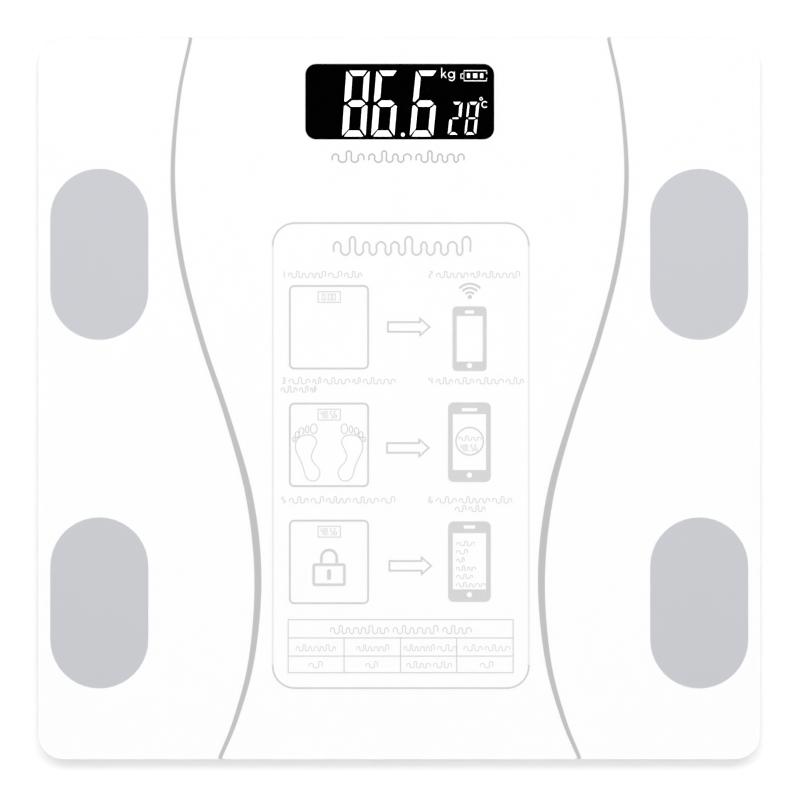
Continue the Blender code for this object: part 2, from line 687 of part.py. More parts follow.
def make_button():
    """The unit button: a cap in the floor's hole, a flange over it and a stem."""
    flange_bottom = TRAY_FLOOR_TOP + GAP
    flange_top = flange_bottom + 0.7 * MM
    profile = [
        (0, SWITCH_TIP - GAP), (1.6 * MM, SWITCH_TIP - GAP), (1.6 * MM, flange_top),
        (BUTTON_FLANGE, flange_top), (BUTTON_FLANGE, flange_bottom), (BUTTON_RADIUS, flange_bottom),
        (BUTTON_RADIUS, BUTTON_BOTTOM + 0.4 * MM), (BUTTON_RADIUS - 0.4 * MM, BUTTON_BOTTOM),
        (BUTTON_RADIUS - 1.2 * MM, BUTTON_BOTTOM), (0, BUTTON_BOTTOM + 0.5 * MM),
    ]
    turned("unit_button", profile, GREY_PLASTIC, (BUTTON_X, BUTTON_Y, 0), steps=20)


def make_batteries():
    """Two cells side by side, head to tail, with their contacts."""
    for number, sign in ((1, 1), (2, -1)):
        profile = battery_profile()
        name = f"battery_{number}"
        battery = turned(name, profile, BATTERY, (0, BAY_Y + sign * BATTERY_SPACING, BATTERY_Z), steps=20)
        battery.rotation_euler.y = sign * math.radians(90)
    thin = CONTACT_THICK
    plus_y, minus_y = BAY_Y - BATTERY_SPACING, BAY_Y + BATTERY_SPACING
    contact_plate("battery_contact_plus", -CONTACT_X - thin, plus_y - 4 * MM, plus_y + 4 * MM)
    minus = contact_plate("battery_contact_minus", -CONTACT_X - thin, minus_y - 4 * MM, minus_y + 4 * MM)
    bridge = contact_plate("battery_contact_bridge", CONTACT_X, plus_y - 4 * MM, minus_y + 4 * MM)
    join(minus, contact_spring("minus_spring", -1, minus_y))
    join(bridge, contact_spring("bridge_spring", 1, plus_y))


def battery_profile():
    """Half outline of a battery along its own axis, nub up."""
    top = BATTERY_BODY - BATTERY_END
    nub = 1.9 * MM
    return [
        (0, top + NUB_LENGTH), (nub, top + NUB_LENGTH), (nub, top + 0.2 * MM), (4 * MM, top + 0.2 * MM),
        (BATTERY_RADIUS - 0.4 * MM, top), (BATTERY_RADIUS, top - 0.5 * MM),
        (BATTERY_RADIUS, 0.5 * MM - BATTERY_END), (BATTERY_RADIUS - 0.5 * MM, -BATTERY_END),
        (0, -BATTERY_END),
    ]


def contact_plate(name, x, y_low, y_high):
    """A sprung-steel plate at one end of the bay."""
    mesh = block(name, (x, y_low, 7.4 * MM), (x + CONTACT_THICK, y_high, 15 * MM))
    return piece(name, mesh, STEEL)


def contact_spring(name, sign, y):
    """A cone-shaped coil from a contact plate to a battery's flat end."""
    wire = 0.3 * MM
    turns = 3
    per_turn = 10
    start = CONTACT_X + wire / 2
    end = BATTERY_END + GAP + wire
    route = []
    for step in range(turns * per_turn + 1):
        t = step / (turns * per_turn)
        angle = 2 * math.pi * turns * t
        radius = (3.2 - 1.4 * t) * MM
        x = start + (end - start) * t
        route.append(Vector((sign * x, y + radius * math.cos(angle), BATTERY_Z + radius * math.sin(angle))))
    return tool(name, mesh_of_curve(tube(name, route, wire, resolution=1)))


def make_door():
    """The battery door, with two tongues at its hinge edge and a latch tab opposite."""
    mesh = slab(
        "battery_door", (2 * DOOR_HALF[0], 2 * DOOR_HALF[1]), TRAY_BOTTOM, DOOR_TOP,
        corner=1.5 * MM, steps=3,
    )
    pivot = Vector((0, DOOR_PIVOT_Y, TRAY_BOTTOM))
    mesh.transform(Matrix.Translation(Vector((0, BAY_Y, 0)) - pivot))
    door = piece("battery_door", mesh, WHITE_PLASTIC, pivot)
    root_y = BAY_Y + DOOR_HALF[1] - 2 * MM
    low = DOOR_TOP - EMBED
    for side, sign in SIDES:
        x_low, x_high = sign * TONGUE_X - TONGUE_WIDTH / 2, sign * TONGUE_X + TONGUE_WIDTH / 2
        root = block("root", (x_low, root_y, low), (x_high, root_y + 1.7 * MM, TONGUE_TOP))
        tongue = block(
            "tongue", (x_low + 0.2 * MM, root_y + 0.5 * MM, TONGUE_BOTTOM),
            (x_high - 0.2 * MM, DOOR_PIVOT_Y + TONGUE_REACH, TONGUE_TOP - 0.1 * MM),
        )
        join(door, tool(f"tongue_root_{side}", root), tool(f"tongue_{side}", tongue))
    latch_y = BAY_Y - DOOR_HALF[1] + 0.8 * MM
    tab = block("tab", (-6 * MM, latch_y, low), (6 * MM, latch_y + 1.2 * MM, 8.6 * MM))
    bead = block("bead", (-5 * MM, latch_y - 0.3 * MM, 7.5 * MM), (5 * MM, latch_y + EMBED, 8.2 * MM))
    join(door, tool("latch_tab", tab), tool("latch_bead", bead))
    cut(door, thumb_scoop())
    join(door, *grip_bars())


def thumb_scoop():
    """The shallow round hollow where a thumb presses the door."""
    bm = bmesh.new()
    ball = 14 * MM
    depth = 0.9 * MM
    bmesh.ops.create_uvsphere(bm, u_segments=24, v_segments=32, radius=ball)
    where = (0, BAY_Y - DOOR_HALF[1] + 7.5 * MM, TRAY_BOTTOM - ball + depth)
    return tool("thumb_scoop", mesh_from("thumb_scoop", bm), where)


def grip_bars():
    """Three low bars across the thumb scoop, a little below the door's face."""
    bars = []
    for number in range(3):
        y = BAY_Y - DOOR_HALF[1] + (5.5 + 2 * number) * MM
        low, high = TRAY_BOTTOM + 0.2 * MM, TRAY_BOTTOM + 1.2 * MM
        bars.append(tool(f"grip_bar_{number + 1}", block("bar", (-3 * MM, y - EMBED, low), (3 * MM, y, high))))
    return bars


def make_leads():
    """All the wires inside: knots in millimetres for the right side, mirrored for the left."""
    low, high = LEAD_Z / MM, ELECTRODE_LEAD_Z / MM
    for side, sign in SIDES:
        lead(f"load_cell_lead_back_{side}", [
            (92, 78, 11.8), (92, 72, 11.8), (91, 66, 11), (84, 61, low), (72, 60, low), (61, 72, low),
            (58, 92, low), (52, 105, low), (45, 107, low), (41, 107, 9.9), (40, 107, 11),
        ], LEAD_RED, sign)
        lead(f"load_cell_lead_front_{side}", [
            (92, -78, 11.8), (92, -72, 11.8), (91, -66, 11), (86, -54, low), (72, -20, low),
            (66, 20, low), (62, 45, low), (54, 66, low), (51, 88, low), (48, 97, low),
            (43, 99, 9.8), (41.5, 99, 11),
        ], LEAD_RED, sign)
        lead(f"electrode_lead_back_{side}", [
            (104.6, 45, 17.2), (98, 46, 16), (80, 52, 14), (65, 66, high), (58, 86, high),
            (54, 102, 14), (51, 107.5, 14.6), (47.5, 109, 14.6), (45.8, 109.2, 14.1),
        ], LEAD_BLACK, sign)
        lead(f"electrode_lead_front_{side}", [
            (104.6, -60, 17.2), (98, -58, 16), (84, -44, 14), (72, -10, high), (67, 30, high),
            (57, 58, high), (53, 82, high), (52, 94, 14), (50, 99, 14.6), (47, 100, 14.6),
            (45.8, 100.2, 14.1),
        ], LEAD_BLACK, sign)
    plus_y, minus_y = (BAY_Y - BATTERY_SPACING) / MM, (BAY_Y + BATTERY_SPACING) / MM
    lead("battery_lead_plus", [
        (-24.4, plus_y, 12), (-31, plus_y, 12), (-36, 38, 11.4), (-40, 52, 10), (-41, 72, 10),
        (-39.5, 88, 9.8), (-38.5, 91, 10), (-38.3, 92, 11),
    ], LEAD_RED)
    lead("battery_lead_minus", [
        (-24.4, minus_y, 12), (-30, minus_y, 12), (-34, 48.5, 11.2), (-36, 60, 10), (-36, 76, 10),
        (-34, 86, 9.8), (-33, 88.5, 10), (-32.8, 89.5, 11),
    ], LEAD_BLACK)


clear_scene()
PARTS = make_collection("bathroom_scale")
CUTTERS = make_collection("cutters")

GLASS = make_material("platform_glass", (0.93, 0.95, 0.94), 0.05)
STEEL = make_material("satin_steel", (0.62, 0.62, 0.64), 0.35, 1.0)
CELL_STEEL = make_material("cell_steel", (0.42, 0.43, 0.45), 0.4, 1.0)
WHITE_PLASTIC = make_material("white_plastic", (0.86, 0.86, 0.85), 0.5)
GREY_PLASTIC = make_material("grey_plastic", (0.45, 0.46, 0.48), 0.5)
BLACK_PLASTIC = make_material("black_plastic", (0.02, 0.02, 0.02), 0.4)
RUBBER = make_material("grey_rubber", (0.12, 0.12, 0.13), 0.8)
FOAM = make_material("foam_tape", (0.8, 0.8, 0.78), 0.9)
DISPLAY_BLACK = make_material("display_black", (0.005, 0.005, 0.006), 0.15)
DIFFUSER = make_material("light_diffuser", (0.9, 0.9, 0.88), 0.4)
PCB_GREEN = make_material("board_green", (0.02, 0.2, 0.07), 0.45)
SHIELD = make_material("shield_tin", (0.6, 0.6, 0.58), 0.35, 1.0)
GAUGE = make_material("gauge_film", (0.75, 0.5, 0.15), 0.5)
BATTERY = make_material("battery_sleeve", (0.15, 0.3, 0.2), 0.35)
LEAD_RED = make_material("lead_red", (0.6, 0.03, 0.03), 0.5)
LEAD_BLACK = make_material("lead_black", (0.02, 0.02, 0.02), 0.5)

make_glass()
make_electrodes()
make_tape()
make_tray()
make_feet()
make_load_cells()
make_display()
make_board()
make_button()
make_batteries()
make_door()
make_leads()
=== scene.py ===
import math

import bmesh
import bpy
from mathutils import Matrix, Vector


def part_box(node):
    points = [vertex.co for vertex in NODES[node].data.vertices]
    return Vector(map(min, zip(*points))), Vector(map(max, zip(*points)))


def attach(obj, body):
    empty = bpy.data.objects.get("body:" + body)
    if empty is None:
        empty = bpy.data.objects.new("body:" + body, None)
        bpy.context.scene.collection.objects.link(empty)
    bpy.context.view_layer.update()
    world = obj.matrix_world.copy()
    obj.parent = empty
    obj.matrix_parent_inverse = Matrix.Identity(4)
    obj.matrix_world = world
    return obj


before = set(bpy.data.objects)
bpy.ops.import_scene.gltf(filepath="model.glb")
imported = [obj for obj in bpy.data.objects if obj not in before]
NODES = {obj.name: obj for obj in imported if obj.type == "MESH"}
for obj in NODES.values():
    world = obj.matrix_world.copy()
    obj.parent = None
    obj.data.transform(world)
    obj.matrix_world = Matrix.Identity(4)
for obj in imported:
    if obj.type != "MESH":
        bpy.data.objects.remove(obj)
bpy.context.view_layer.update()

# Looks of the digital bathroom scale: the glass with its white coat and grey printing, the lit
# display, the steel electrodes, and the plastic, rubber and metal below and inside.
# Print sizes are millimetres from the middle of the glass, x to the right and y to the display.

MM = 0.001
ROOT = "scale"
GLASS_LOW, GLASS_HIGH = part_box("glass_platform")
GLASS_HALF = (GLASS_HIGH[0] - GLASS_LOW[0]) / 2 / MM
GLASS_CORNER = 9.0
PANEL_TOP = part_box("display_panel")[1][2]
CORNERS = [(end, side) for end in ("back", "front") for side in ("left", "right")]

# Heights of the thin layers: the ink is fused to the glass, so it lies just inside the glass's lower face
LAYER_THICK = 0.06 * MM
COAT_TOP = GLASS_LOW[2] + 0.12 * MM
PRINT_TOP = GLASS_LOW[2] + 0.22 * MM
SEGMENT_TOP = PANEL_TOP + 0.12 * MM

# Ink tones, as the light they send back
TONE_COAT = 0.776
TONE_CURVE = 0.414
TONE_CAPACITY = 0.394
TONE_SOLID = 0.523
TONE_ICON = 0.505
TONE_TITLE = 0.508
TONE_FINE = 0.522
TONE_FEET = 0.497
TONE_FAINT = 0.665

# Display window in the coat, and the digits below it
WINDOW = (-33.88, 93.28, 34.25, 120.57)
WINDOW_CORNER = 3.9
DIGIT_BASE = 94.25
DIGIT_HEIGHT = 24.0
SMALL_BASE = 94.92
SMALL_HEIGHT = 12.05
LIT_INSET = 0.15

# The ground band round the glass, outside its side face and between its rounded edges
BAND_GAP = 0.01
BAND_REACH = 0.06
BAND_TRIM = 0.5

# How far the coat stops short of the glass's edge, and the radius of its stud holes
COAT_INSET = 0.25
STUD_HOLE = 1.5

# Where the printed curves end, just inside the glass's edge
CURVE_REACH = 129.8

# Lamps: powers in watts, the distance in metres, the key's tilt in degrees from upright
OVERHEAD_POWER = 60.0
KEY_POWER = 64.0
BELOW_POWER = 40.0
LAMP_DISTANCE = 4.0
KEY_TILT = 11.5

# The sky's level at the sides and high up
SKY_SIDE = 0.6
SKY_HIGH = 0.6

# The camera, in millimetres: the width it sees, the point it looks down on, its lens and its sensor
VIEW_WIDTH = 288.1
VIEW_CENTER = (0.27, -0.63)
LENS = 400.0
SENSOR = 36.0


# ---------------------------------------------------------------- outlines

def arc(x, y, radius, start, end, steps=10):
    """Points along an arc, angles in degrees."""
    angles = [math.radians(start + (end - start) * i / steps) for i in range(steps + 1)]
    return [(x + radius * math.cos(a), y + radius * math.sin(a)) for a in angles]


def ellipse(x, y, half_width, half_height, steps=28):
    """A closed ellipse."""
    angles = [2 * math.pi * i / steps for i in range(steps)]
    return [(x + half_width * math.cos(a), y + half_height * math.sin(a)) for a in angles]


def rounded(left, bottom, right, top, radius, steps=6):
    """A rectangle with round corners."""
    return (
        arc(right - radius, top - radius, radius, 0, 90, steps)
        + arc(left + radius, top - radius, radius, 90, 180, steps)
        + arc(left + radius, bottom + radius, radius, 180, 270, steps)
        + arc(right - radius, bottom + radius, radius, 270, 360, steps)
    )


def rectangle(left, bottom, right, top):
    """A rectangle with square corners."""
    return [(left, bottom), (right, bottom), (right, top), (left, top)]


def rounded_ring(left, bottom, right, top, radius, line):
    """The outline of a rounded rectangle, as an outer and an inner loop."""
    inner = max(radius - line, 0.05)
    return [
        rounded(left, bottom, right, top, radius),
        rounded(left + line, bottom + line, right - line, top - line, inner),
    ]


def smooth(points, pieces=6, closed=False):
    """A smooth curve through the points; each may hold any number of values."""
    if closed:
        padded = [points[-1], *points, points[0], points[1]]
    else:
        first = tuple(2 * a - b for a, b in zip(points[0], points[1]))
        last = tuple(2 * a - b for a, b in zip(points[-1], points[-2]))
        padded = [first, *points, last]
    route = []
    for before, start, end, after in zip(padded, padded[1:], padded[2:], padded[3:]):
        for step in range(pieces):
            t = step / pieces
            route.append(tuple(
                0.5 * (
                    2 * s + (e - b) * t
                    + (2 * b - 5 * s + 4 * e - a) * t * t
                    + (3 * s - b - 3 * e + a) * t ** 3
                )
                for b, s, e, a in zip(before, start, end, after)
            ))
    if not closed:
        route.append(tuple(points[-1]))
    return route


def sides_of(points, widths, closed=False):
    """The two sides of a stroke that follows the points."""
    count = len(points)
    left, right = [], []
    for i, (x, y) in enumerate(points):
        before = points[(i - 1) % count] if closed or i else points[0]
        after = points[(i + 1) % count] if closed or i < count - 1 else points[-1]
        along = Vector((after[0] - before[0], after[1] - before[1])).normalized()
        reach = widths[i] / 2
        left.append((x - along.y * reach, y + along.x * reach))
        right.append((x + along.y * reach, y - along.x * reach))
    return left, right


def stroke(points, width, closed=False):
    """A stroke of even or given width, as one loop, or two if it is closed."""
    widths = width if isinstance(width, list) else [width] * len(points)
    left, right = sides_of(points, widths, closed)
    if closed:
        return [left, right]
    return [left + right[::-1]]


def cut_off(loop, reach):
    """A loop with the parts beyond y = reach and y = -reach taken off."""
    for side in (1, -1):
        kept = []
        for (x, y), (next_x, next_y) in zip(loop, loop[1:] + loop[:1]):
            if y * side <= reach:
                kept.append((x, y))
            if (y * side <= reach) != (next_y * side <= reach):
                part = (reach * side - y) / (next_y - y)
                kept.append((x + part * (next_x - x), reach * side))
        loop = kept
    return loop


def shrunk(loop, inset):
    """A convex loop, anticlockwise, with every side moved inward."""
    sides = []
    for (x, y), (next_x, next_y) in zip(loop, loop[1:] + loop[:1]):
        along = Vector((next_x - x, next_y - y)).normalized()
        sides.append((Vector((x - along.y * inset, y + along.x * inset)), along))
    corners = []
    for (start, along), (next_start, next_along) in zip(sides[-1:] + sides[:-1], sides):
        across = next_along.x * along.y - next_along.y * along.x
        offset = next_start - start
        reach = (next_along.x * offset.y - next_along.y * offset.x) / across
        corners.append(tuple(start + along * reach))
    return corners


def moved(loops, x=0.0, y=0.0, mirror=False):
    """Loops moved, and mirrored left to right first if asked."""
    sign = -1 if mirror else 1
    return [[(sign * px + x, py + y) for px, py in loop] for loop in loops]


# ---------------------------------------------------------------- pieces

def layer(name, loops, top, thick, material, body=ROOT):
    """A thin flat solid: loops in millimetres, its outline and holes; top and thick in metres."""
    curve = bpy.data.curves.new(name, "CURVE")
    curve.dimensions = "2D"
    curve.fill_mode = "BOTH"
    curve.extrude = thick / 2
    for loop in loops:
        spline = curve.splines.new("POLY")
        spline.points.add(len(loop) - 1)
        for point, (x, y) in zip(spline.points, loop):
            point.co = (x * MM, y * MM, 0, 1)
        spline.use_cyclic_u = True
    holder = bpy.data.objects.new(name + "_outline", curve)
    bpy.context.scene.collection.objects.link(holder)
    bpy.context.view_layer.update()
    mesh = bpy.data.meshes.new_from_object(holder.evaluated_get(bpy.context.evaluated_depsgraph_get()))
    bpy.data.objects.remove(holder, do_unlink=True)
    bm = bmesh.new()
    bm.from_mesh(mesh)
    bpy.data.meshes.remove(mesh)
    bmesh.ops.remove_doubles(bm, verts=bm.verts, dist=0.0000005)
    bmesh.ops.translate(bm, vec=(0, 0, top - thick / 2), verts=bm.verts)
    bmesh.ops.recalc_face_normals(bm, faces=bm.faces)
    return finished(name, bm, material, body)


def finished(name, bm, material, body=ROOT):
    """Link a bmesh as a piece that rides on a body."""
    mesh = bpy.data.meshes.new(name)
    bm.to_mesh(mesh)
    bm.free()
    mesh.materials.clear()
    mesh.materials.append(material)
    obj = bpy.data.objects.new(name, mesh)
    bpy.context.scene.collection.objects.link(obj)
    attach(obj, body)
    return obj


# ---------------------------------------------------------------- materials

def new_material(name):
    """A material with a Principled shader; returns it, its nodes, links and shader."""
    material = bpy.data.materials.new(name)
    material.use_nodes = True
    tree = material.node_tree
    return material, tree.nodes, tree.links, tree.nodes["Principled BSDF"]


def set_values(shader, **values):
    """Set a shader's sockets by their names, with spaces as underscores."""
    for name, value in values.items():
        shader.inputs[name.replace("_", " ").title().replace("Ior", "IOR")].default_value = value


def position(nodes):
    """The piece's own coordinates, in metres."""
    return nodes.new("ShaderNodeTexCoord").outputs["Object"]


def noise(nodes, links, scale, detail=3.0, stretch=(1, 1, 1)):
    """A noise value in the piece's own coordinates; scale is in cells a metre."""
    mapping = nodes.new("ShaderNodeMapping")
    mapping.inputs["Scale"].default_value = stretch
    links.new(position(nodes), mapping.inputs["Vector"])
    texture = nodes.new("ShaderNodeTexNoise")
    texture.inputs["Scale"].default_value = scale
    texture.inputs["Detail"].default_value = detail
    links.new(mapping.outputs["Vector"], texture.inputs["Vector"])
    return texture.outputs["Fac"]


def spread(nodes, links, value, low, high):
    """Map a noise value onto a range."""
    node = nodes.new("ShaderNodeMapRange")
    node.inputs["From Min"].default_value = 0.3
    node.inputs["From Max"].default_value = 0.7
    node.inputs["To Min"].default_value = low
    node.inputs["To Max"].default_value = high
    links.new(value, node.inputs["Value"])
    return node.outputs["Result"]


def blend_colors(nodes, links, value, first, second):
    """A colour between two, by a value from 0 to 1."""
    ramp = nodes.new("ShaderNodeValToRGB")
    ramp.color_ramp.elements[0].position = 0.3
    ramp.color_ramp.elements[1].position = 0.7
    ramp.color_ramp.elements[0].color = (*first, 1)
    ramp.color_ramp.elements[1].color = (*second, 1)
    links.new(value, ramp.inputs["Fac"])
    return ramp.outputs["Color"]


def add_bump(nodes, links, shader, value, height, strength=1.0):
    """Raise the surface by a value, height in metres."""
    bump = nodes.new("ShaderNodeBump")
    bump.inputs["Strength"].default_value = strength
    bump.inputs["Distance"].default_value = height
    links.new(value, bump.inputs["Height"])
    links.new(bump.outputs["Normal"], shader.inputs["Normal"])


def shade(color, change):
    """A colour made lighter or darker."""
    return tuple(min(1.0, channel * change) for channel in color)


def ink(name, tone, grain=0.012):
    """Printed ink: an even tone with the faint mottle of a screen print."""
    material, nodes, links, shader = new_material(name)
    color = (tone, tone, tone * 1.004)
    mottle = noise(nodes, links, 900, 4)
    links.new(blend_colors(nodes, links, mottle, shade(color, 1 - grain), shade(color, 1 + grain)),
              shader.inputs["Base Color"])
    links.new(spread(nodes, links, noise(nodes, links, 5000, 2), 0.5, 0.6), shader.inputs["Roughness"])
    set_values(shader, specular_ior_level=0.2)
    return material


def plastic(name, color, roughness, grain=2600, height=0.00002, change=0.012):
    """Moulded plastic with a fine spark texture."""
    material, nodes, links, shader = new_material(name)
    cloud = noise(nodes, links, 40, 2)
    links.new(blend_colors(nodes, links, cloud, shade(color, 1 - change), shade(color, 1 + change)),
              shader.inputs["Base Color"])
    spark = noise(nodes, links, grain, 3)
    links.new(spread(nodes, links, spark, roughness - 0.06, roughness + 0.06), shader.inputs["Roughness"])
    add_bump(nodes, links, shader, spark, height, 0.5)
    return material


def brushed(name, color, roughness, along=(1, 1, 1), grain=1500, height=0.000002, change=0.03, swing=0.05):
    """Satin metal with fine brush lines; along squeezes the grain on each axis, swing varies the gloss."""
    material, nodes, links, shader = new_material(name)
    set_values(shader, metallic=1.0)
    lines = noise(nodes, links, grain, 4, along)
    links.new(blend_colors(nodes, links, lines, shade(color, 1 - change), shade(color, 1 + change)),
              shader.inputs["Base Color"])
    links.new(spread(nodes, links, lines, roughness - swing, roughness + swing), shader.inputs["Roughness"])
    add_bump(nodes, links, shader, lines, height, 0.3)
    return material


def glass_material():
    """Clear toughened glass: faint smears on the face, and a green tint on its steep sides."""
    material, nodes, links, shader = new_material("platform_glass")
    set_values(shader, transmission_weight=1.0, ior=1.5)
    geometry = nodes.new("ShaderNodeNewGeometry")
    split = nodes.new("ShaderNodeSeparateXYZ")
    links.new(geometry.outputs["Normal"], split.inputs["Vector"])
    steep = nodes.new("ShaderNodeMath")
    steep.operation = "ABSOLUTE"
    links.new(split.outputs["Z"], steep.inputs[0])
    ramp = nodes.new("ShaderNodeValToRGB")
    ramp.color_ramp.elements[0].position = 0.5
    ramp.color_ramp.elements[1].position = 0.9
    ramp.color_ramp.elements[0].color = (0.80, 0.92, 0.88, 1)
    ramp.color_ramp.elements[1].color = (1.0, 1.0, 1.0, 1)
    links.new(steep.outputs["Value"], ramp.inputs["Fac"])
    links.new(ramp.outputs["Color"], shader.inputs["Base Color"])
    smears = noise(nodes, links, 18, 4, (1, 3, 1))
    links.new(spread(nodes, links, smears, 0.0, 0.01), shader.inputs["Roughness"])
    return material


def display_material():
    """The display's black face, almost black where no segment is lit."""
    material, nodes, links, shader = new_material("display_black")
    links.new(blend_colors(nodes, links, noise(nodes, links, 300, 2), (0.0003,) * 3, (0.0005,) * 3),
              shader.inputs["Base Color"])
    links.new(spread(nodes, links, noise(nodes, links, 60, 3), 0.55, 0.65), shader.inputs["Roughness"])
    set_values(shader, specular_ior_level=0.0)
    return material


def segment_material():
    """Lit white segments, a little uneven as a diffused backlight is."""
    material, nodes, links, shader = new_material("lit_segment")
    glow = noise(nodes, links, 120, 1)
    links.new(blend_colors(nodes, links, glow, (0.94, 0.95, 0.96), (1.0, 1.0, 1.0)),
              shader.inputs["Emission Color"])
    set_values(shader, base_color=(0.5, 0.5, 0.5, 1), roughness=0.6, emission_strength=1.1)
    return material


def rubber_material(name, color):
    """Moulded rubber: fine grain, with dusty patches at random."""
    material, nodes, links, shader = new_material(name)
    dust = noise(nodes, links, 220, 4)
    links.new(blend_colors(nodes, links, dust, shade(color, 0.85), shade(color, 1.3)),
              shader.inputs["Base Color"])
    grain = noise(nodes, links, 3500, 2)
    links.new(spread(nodes, links, grain, 0.7, 0.85), shader.inputs["Roughness"])
    add_bump(nodes, links, shader, grain, 0.00003, 0.6)
    return material


def foam_material():
    """White closed-cell foam."""
    material, nodes, links, shader = new_material("foam_tape")
    cells = nodes.new("ShaderNodeTexVoronoi")
    cells.inputs["Scale"].default_value = 2200
    links.new(position(nodes), cells.inputs["Vector"])
    links.new(blend_colors(nodes, links, cells.outputs["Distance"], (0.72, 0.72, 0.70), (0.62, 0.62, 0.60)),
              shader.inputs["Base Color"])
    add_bump(nodes, links, shader, cells.outputs["Distance"], 0.00006, 0.6)
    set_values(shader, roughness=0.9)
    return material


def board_material():
    """Green solder mask with the copper tracks showing through it."""
    material, nodes, links, shader = new_material("board_green")
    tracks = nodes.new("ShaderNodeTexBrick")
    tracks.inputs["Scale"].default_value = 260
    tracks.inputs["Mortar Size"].default_value = 0.035
    tracks.inputs["Color1"].default_value = (0.012, 0.16, 0.05, 1)
    tracks.inputs["Color2"].default_value = (0.010, 0.13, 0.045, 1)
    tracks.inputs["Mortar"].default_value = (0.05, 0.32, 0.10, 1)
    links.new(position(nodes), tracks.inputs["Vector"])
    links.new(tracks.outputs["Color"], shader.inputs["Base Color"])
    add_bump(nodes, links, shader, tracks.outputs["Fac"], 0.00003, 0.5)
    links.new(spread(nodes, links, noise(nodes, links, 900, 2), 0.35, 0.45), shader.inputs["Roughness"])
    return material


def battery_material(name, sign):
    """A plain sleeve in two colours, copper towards the nub; sign is the nub's side."""
    material, nodes, links, shader = new_material(name)
    split = nodes.new("ShaderNodeSeparateXYZ")
    links.new(position(nodes), split.inputs["Vector"])
    ramp = nodes.new("ShaderNodeValToRGB")
    ramp.color_ramp.interpolation = "CONSTANT"
    elements = ramp.color_ramp.elements
    elements[0].color = (0.55, 0.56, 0.58, 1)
    elements[1].position = 0.035
    elements[1].color = (0.03, 0.032, 0.036, 1)
    for place, color in ((0.70, (0.55, 0.22, 0.07, 1)), (0.955, (0.6, 0.6, 0.62, 1))):
        element = elements.new(place)
        element.color = color
    half = 22 * MM
    along = nodes.new("ShaderNodeMapRange")
    along.inputs["From Min"].default_value = -sign * half
    along.inputs["From Max"].default_value = sign * half
    links.new(split.outputs["X"], along.inputs["Value"])
    links.new(along.outputs["Result"], ramp.inputs["Fac"])
    links.new(ramp.outputs["Color"], shader.inputs["Base Color"])
    links.new(spread(nodes, links, noise(nodes, links, 500, 3), 0.28, 0.4), shader.inputs["Roughness"])
    set_values(shader, metallic=0.6)
    return material


def bond_material():
    """The grey adhesive that holds an electrode to the glass."""
    material, nodes, links, shader = new_material("electrode_bond")
    links.new(blend_colors(nodes, links, noise(nodes, links, 700, 3), (0.50, 0.50, 0.52), (0.56, 0.56, 0.58)),
              shader.inputs["Base Color"])
    links.new(spread(nodes, links, noise(nodes, links, 2000, 2), 0.3, 0.45), shader.inputs["Roughness"])
    return material


def edge_material():
    """The ground edge of the glass: pale green, with fine grinding lines along it."""
    material, nodes, links, shader = new_material("ground_edge")
    lines = noise(nodes, links, 400, 4, (1, 1, 16))
    links.new(blend_colors(nodes, links, lines, (0.52, 0.64, 0.60), (0.56, 0.68, 0.64)),
              shader.inputs["Base Color"])
    links.new(spread(nodes, links, lines, 0.22, 0.34), shader.inputs["Roughness"])
    return material


# ---------------------------------------------------------------- printing on the glass

def make_coat():
    """The white coat on the glass's underside, with the display window and the stud holes."""
    half = GLASS_HALF - COAT_INSET
    loops = [rounded(-half, -half, half, half, GLASS_CORNER - COAT_INSET, 12)]
    loops.append(rounded(*WINDOW, WINDOW_CORNER, 10))
    for end, side in CORNERS:
        low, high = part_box(f"electrode_nut_{end}_{side}")
        x, y = (low[0] + high[0]) / 2 / MM, (low[1] + high[1]) / 2 / MM
        loops.append(ellipse(x, y, STUD_HOLE, STUD_HOLE, 20))
    white = ink("coat_ink", TONE_COAT, 0.004)
    layer("white_coat", loops, COAT_TOP, LAYER_THICK, white)


def print_layer(name, loops, material):
    """One printed mark on the glass's underside."""
    return layer(name, loops, PRINT_TOP, LAYER_THICK, material)


def make_curves():
    """The two long curves that mirror each other: (y, x, width) down the left one."""
    knots = [
        (130.3, -75.2, 1.15), (108.1, -79.7, 1.3), (79.3, -81.8, 1.6), (50.5, -78.9, 1.85),
        (21.7, -71.6, 1.85), (-7.1, -62.0, 2.0), (-35.9, -54.1, 2.5), (-64.7, -51.1, 2.5),
        (-93.5, -53.3, 2.05), (-115.1, -58.9, 1.65), (-130.4, -65.1, 1.3),
    ]
    route = smooth(knots, 8)
    points = [(x, y) for y, x, _ in route]
    widths = [width for _, _, width in route]
    loops = [cut_off(loop, CURVE_REACH) for loop in stroke(points, widths)]
    material = ink("curve_ink", TONE_CURVE)
    print_layer("grey_curve_left", moved(loops, x=0.15), material)
    print_layer("grey_curve_right", moved(loops, x=0.15, mirror=True), material)


def make_panel_frame():
    """The rounded frame round the instructions, lighter down its sides; edges are line centres."""
    left, bottom, right, top = -45.6, -104.5, 46.7, 63.15
    radius, over = 8.0, 0.4
    line = 0.62
    dark = ink("frame_ink", TONE_ICON)
    light = ink("frame_side_ink", TONE_FAINT)
    for name, edge, sign, turn in (("top", top, 1, 90), ("bottom", bottom, -1, 270)):
        y = edge - sign * radius
        near = arc(left + radius, y, radius, 180, turn, 12)
        far = arc(right - radius, y, radius, turn, 0 if sign > 0 else 360, 12)
        route = [(left, y - sign * over), *near, *far, (right, y - sign * over)]
        print_layer(f"panel_frame_{name}", stroke(route, line), dark)
    low, high = bottom + radius + over + 0.1, top - radius - over - 0.1
    for name, x in (("left", left), ("right", right)):
        print_layer(f"panel_frame_{name}", [rectangle(x - line / 2, low, x + line / 2, high)], light)


